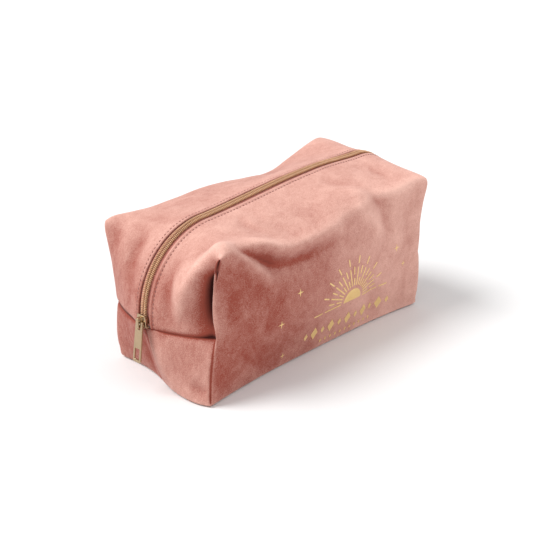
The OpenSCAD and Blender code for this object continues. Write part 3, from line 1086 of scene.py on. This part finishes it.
def seam_bindings():
    """The bound seams across the ends, up the four corners and along the base."""
    a, y, h = GRID.T
    for end, end_name in ((NEAR, "pull"), (FAR, "far")):
        at_end = np.abs(a - end) < 0.001
        across = at_end & (np.abs(h - SEAM_Z) < ON_LINE) & (np.abs(y) < END_BINDING_Y)
        bound_seam(f"end_binding_{end_name}", across, 1, f"end_seam_binding_{end_name}")
        corner = at_end & (h > CORNER_BINDING_LOW) & (h < CORNER_BINDING_HIGH)
        for side in (FRONT, BACK):
            up = corner & (np.abs(y - side * HALF_DEPTH) < ON_LINE)
            name = f"{end_name}_{SIDE_NAME[side]}"
            bound_seam(f"corner_seam_{name}", up, 2, f"corner_binding_{name}")
    along = (h < ON_LINE) & (np.abs(y) < ON_LINE) & (np.abs(a) < BASE_BINDING_SHARE)
    bound_seam("base_binding", along, 0, "bottom_seam_binding")


# ---- the zip

def zip_tape(side, velvet):
    """One woven tape, under the velvet's folded edge."""
    shape = bmesh.new()
    bmesh.ops.create_grid(shape, x_segments=TAPE_CELLS[0], y_segments=TAPE_CELLS[1], size=1)
    flat = points_of(shape)
    s = (flat[:, 0] + 1) / 2 * zip_line.length
    y = side * (TAPE_IN_Y + (flat[:, 1] * side + 1) / 2 * (TAPE_Y - TAPE_IN_Y))
    # Under the velvet it falls where the velvet falls
    fall = np.where(np.abs(y) > SLOT_Y, np.minimum(ground_at(velvet, s, y), 0), 0)
    move_points(shape, zip_line.place(s, y, fall - TAPE_DEPTH))
    piece = soften(thicken(as_object(f"woven_tape_{SIDE_NAME[side]}", shape), TAPE_T))
    finish_piece(piece, TAPE, stands_for("tape", side))
    return bend_open(piece, side)


def zip_coil(side):
    """One half of the coil: a wire wound flat along the edge of its tape."""
    turns = int(zip_line.length / COIL_PITCH)
    steps = turns * COIL_STEPS
    # The wire's section, beside an axis along X, is wound round that axis at a radius of 1
    shape = bmesh.new()
    bmesh.ops.create_circle(shape, segments=WIRE_SIDES, radius=WIRE_R, cap_ends=False)
    bmesh.ops.translate(shape, vec=(0, 1, 0), verts=shape.verts[:])
    for axis in "YXZ":
        quarter_turn = Matrix.Rotation(math.pi / 2, 3, axis)
        bmesh.ops.rotate(shape, matrix=quarter_turn, verts=shape.verts[:])
    bmesh.ops.spin(
        shape, geom=shape.edges[:], cent=(0, 0, 0), axis=(1, 0, 0),
        dvec=(zip_line.length / steps, 0, 0), angle=2 * math.pi * turns,
        steps=steps, use_merge=False, use_duplicate=False,
    )
    bmesh.ops.remove_doubles(shape, verts=shape.verts[:], dist=WELD / 2)
    face_outwards(shape)
    # The round winding is laid along the zip and pressed flat
    wound = points_of(shape)
    radius = 1 + WIRE_R
    width, height = (COIL_OUT_Y - COIL_IN_Y) / 2, (COIL_TOP + TAPE_DEPTH - COIL_LIFT) / 2
    s = np.clip(wound[:, 0], 0, zip_line.length)
    y = side * (COIL_IN_Y + width) + wound[:, 1] / radius * width * side
    lift = COIL_TOP - height + wound[:, 2] / radius * height
    move_points(shape, zip_line.place(s, y, lift))
    face_outwards(shape)
    piece = as_object(f"nylon_coil_{SIDE_NAME[side]}", shape)
    finish_piece(piece, COIL, stands_for("coil", side))
    return bend_open(piece, side)


def topstitching(side, velvet):
    """A row of sunk stitches along the velvet's folded edge."""
    shape = bmesh.new()
    for k in range(int((zip_line.length - STITCH_MARGIN) / STITCH_PITCH)):
        middle = Matrix.Translation((STITCH_START + k * STITCH_PITCH, 0, 0))
        bmesh.ops.create_cube(shape, size=1, matrix=middle)
    long_edges = [
        edge for edge in shape.edges
        if abs(edge.verts[0].co.x - edge.verts[1].co.x) > 0.5
    ]
    bmesh.ops.subdivide_edges(shape, edges=long_edges, cuts=3)
    block = points_of(shape)
    centre = STITCH_START + np.rint((block[:, 0] - STITCH_START) / STITCH_PITCH) * STITCH_PITCH
    # Each stitch thins and dips into the velvet at both of its ends
    along = block[:, 0] - centre
    thin = 1 - STITCH_TAPER * along**2
    ground = ground_at(velvet, centre, side * STITCH_Y + 0 * centre)
    lift = ground + STITCH_PROUD - STITCH_DIP * along**2 + block[:, 2] * STITCH_HEIGHT * thin
    y = side * STITCH_Y + block[:, 1] * STITCH_WIDTH * thin
    move_points(shape, zip_line.place(centre + along * STITCH_LENGTH, y, lift))
    piece = soften(as_object(f"topstitching_{SIDE_NAME[side]}", shape))
    finish_piece(piece, THREAD, stands_for("stitch", side))
    return bend_open(piece, side)


# ---- metal and foil

def plated(name, node, body, bevel):
    """A metal piece made from its plain solid, with softened edges."""
    shape = from_solid(node)
    bmesh.ops.dissolve_limit(
        shape, angle_limit=FLAT_ANGLE, use_dissolve_boundaries=False,
        verts=shape.verts[:], edges=shape.edges[:], delimit=set(),
    )
    sharp = [
        edge for edge in shape.edges
        if len(edge.link_faces) == 2 and edge.calc_face_angle() > EDGE_ANGLE
    ]
    bmesh.ops.bevel(
        shape, geom=sharp, offset=bevel, offset_type="OFFSET", affect="EDGES",
        segments=BEVEL_SEGMENTS, profile=0.5, material=-1, clamp_overlap=True,
    )
    face_outwards(shape)
    piece = as_object(name, shape)
    finish_piece(piece, METAL, [node])
    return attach(piece, body)


def cut_all(shape, point, normal):
    """Cuts a whole mesh along a plane."""
    bmesh.ops.bisect_plane(
        shape, geom=shape.verts[:] + shape.edges[:] + shape.faces[:], dist=0.0001,
        plane_co=point, plane_no=normal,
    )


def foil_print(velvet):
    """Foil shapes pressed on to the velvet of the front wall."""
    shape = from_solid("foil_print")
    face_y = max(vertex.co.y for vertex in shape.verts)
    # Cells small enough to follow the folds
    for x in np.arange(-60, 100, FOIL_CELL):
        cut_all(shape, (x, 0, 0), (1, 0, 0))
    for z in np.arange(0, 64, FOIL_CELL):
        cut_all(shape, (0, 0, z), (0, 0, 1))
    surface = surface_of(velvet)
    for vertex in shape.verts:
        start = Vector((vertex.co.x, -3 * HALF_DEPTH, vertex.co.z)) * MM
        found = surface.ray_cast(start, Vector((0, 1, 0)))[0]
        proud = FOIL_PROUD if vertex.co.y < face_y - 0.06 else -FOIL_SUNK
        vertex.co.y = found.y / MM - proud
    piece = as_object("foil_motif", shape, smooth=False)
    finish_piece(piece, FOIL, ["foil_print"])
    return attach(piece, "bag")


# ---- the studio

AIM = Vector((0.0164, 0.0248, 0.0396))
CAMERA_DISTANCE = 0.84
CAMERA_AZIMUTH = -45.742
CAMERA_ELEVATION = 23.524
CAMERA_LENS, CAMERA_SENSOR = 72.53, 36
FLOOR_SIZE, FLOOR_Z = 12, -0.0005
WORLD_LIGHT = 0.7
# Name, the direction it comes from, its softness in degrees and its strength
SOFT_LIGHTS = [
    ("key_light", (-0.62, 0.48, 1.0), 30, 2.65),
    ("fill_light", (0.5, -0.9, 0.45), 60, 0.7),
]


def look_along(direction):
    """The turn that makes a lamp or a camera face this way."""
    return direction.to_track_quat("-Z", "Y").to_euler()


def studio():
    """White floor, a soft key light from behind on the near side and a weak fill in front."""
    bpy.ops.mesh.primitive_plane_add(size=FLOOR_SIZE, location=(0, 0, FLOOR_Z))
    floor = bpy.context.object
    floor.name = "studio_floor"
    floor.data.materials.append(paper_finish())
    world = bpy.data.worlds.new("studio_world")
    world.use_nodes = True
    background = world.node_tree.nodes["Background"]
    background.inputs["Color"].default_value = (1, 1, 1, 1)
    background.inputs["Strength"].default_value = WORLD_LIGHT
    scene = bpy.context.scene
    scene.world = world
    for name, place, softness, strength in SOFT_LIGHTS:
        light = bpy.data.lights.new(name, "SUN")
        light.angle = math.radians(softness)
        light.energy = strength
        lamp = bpy.data.objects.new(name, light)
        lamp.location = place
        lamp.rotation_euler = look_along(-Vector(place))
        scene.collection.objects.link(lamp)
    scene.view_settings.view_transform = "Standard"


def camera():
    """The camera, at the height and turn from which the bag is looked at."""
    azimuth, elevation = math.radians(CAMERA_AZIMUTH), math.radians(CAMERA_ELEVATION)
    back = Vector((
        math.sin(azimuth) * math.cos(elevation),
        -math.cos(azimuth) * math.cos(elevation),
        math.sin(elevation),
    ))
    data = bpy.data.cameras.new("studio_camera")
    data.lens, data.sensor_width = CAMERA_LENS, CAMERA_SENSOR
    view = bpy.data.objects.new("studio_camera", data)
    view.location = AIM + back * CAMERA_DISTANCE
    view.rotation_euler = look_along(-back)
    bpy.context.scene.collection.objects.link(view)
    bpy.context.scene.camera = view


camera()
studio()
velvets = {side: velvet_panel(side) for side in (FRONT, BACK)}
for side, velvet in velvets.items():
    foam_pad(side)
    lining_panel(side)
    zip_tape(side, velvet)
    zip_coil(side)
    topstitching(side, velvet)
seam_bindings()
foil_print(velvets[FRONT])
plated("slider_casting", "slider_body", "slider", bevel=0.25)
plated("slider_bridge", "slider_bail", "slider", bevel=0.3)
plated("puller_plate", "puller", "puller", bevel=0.22)
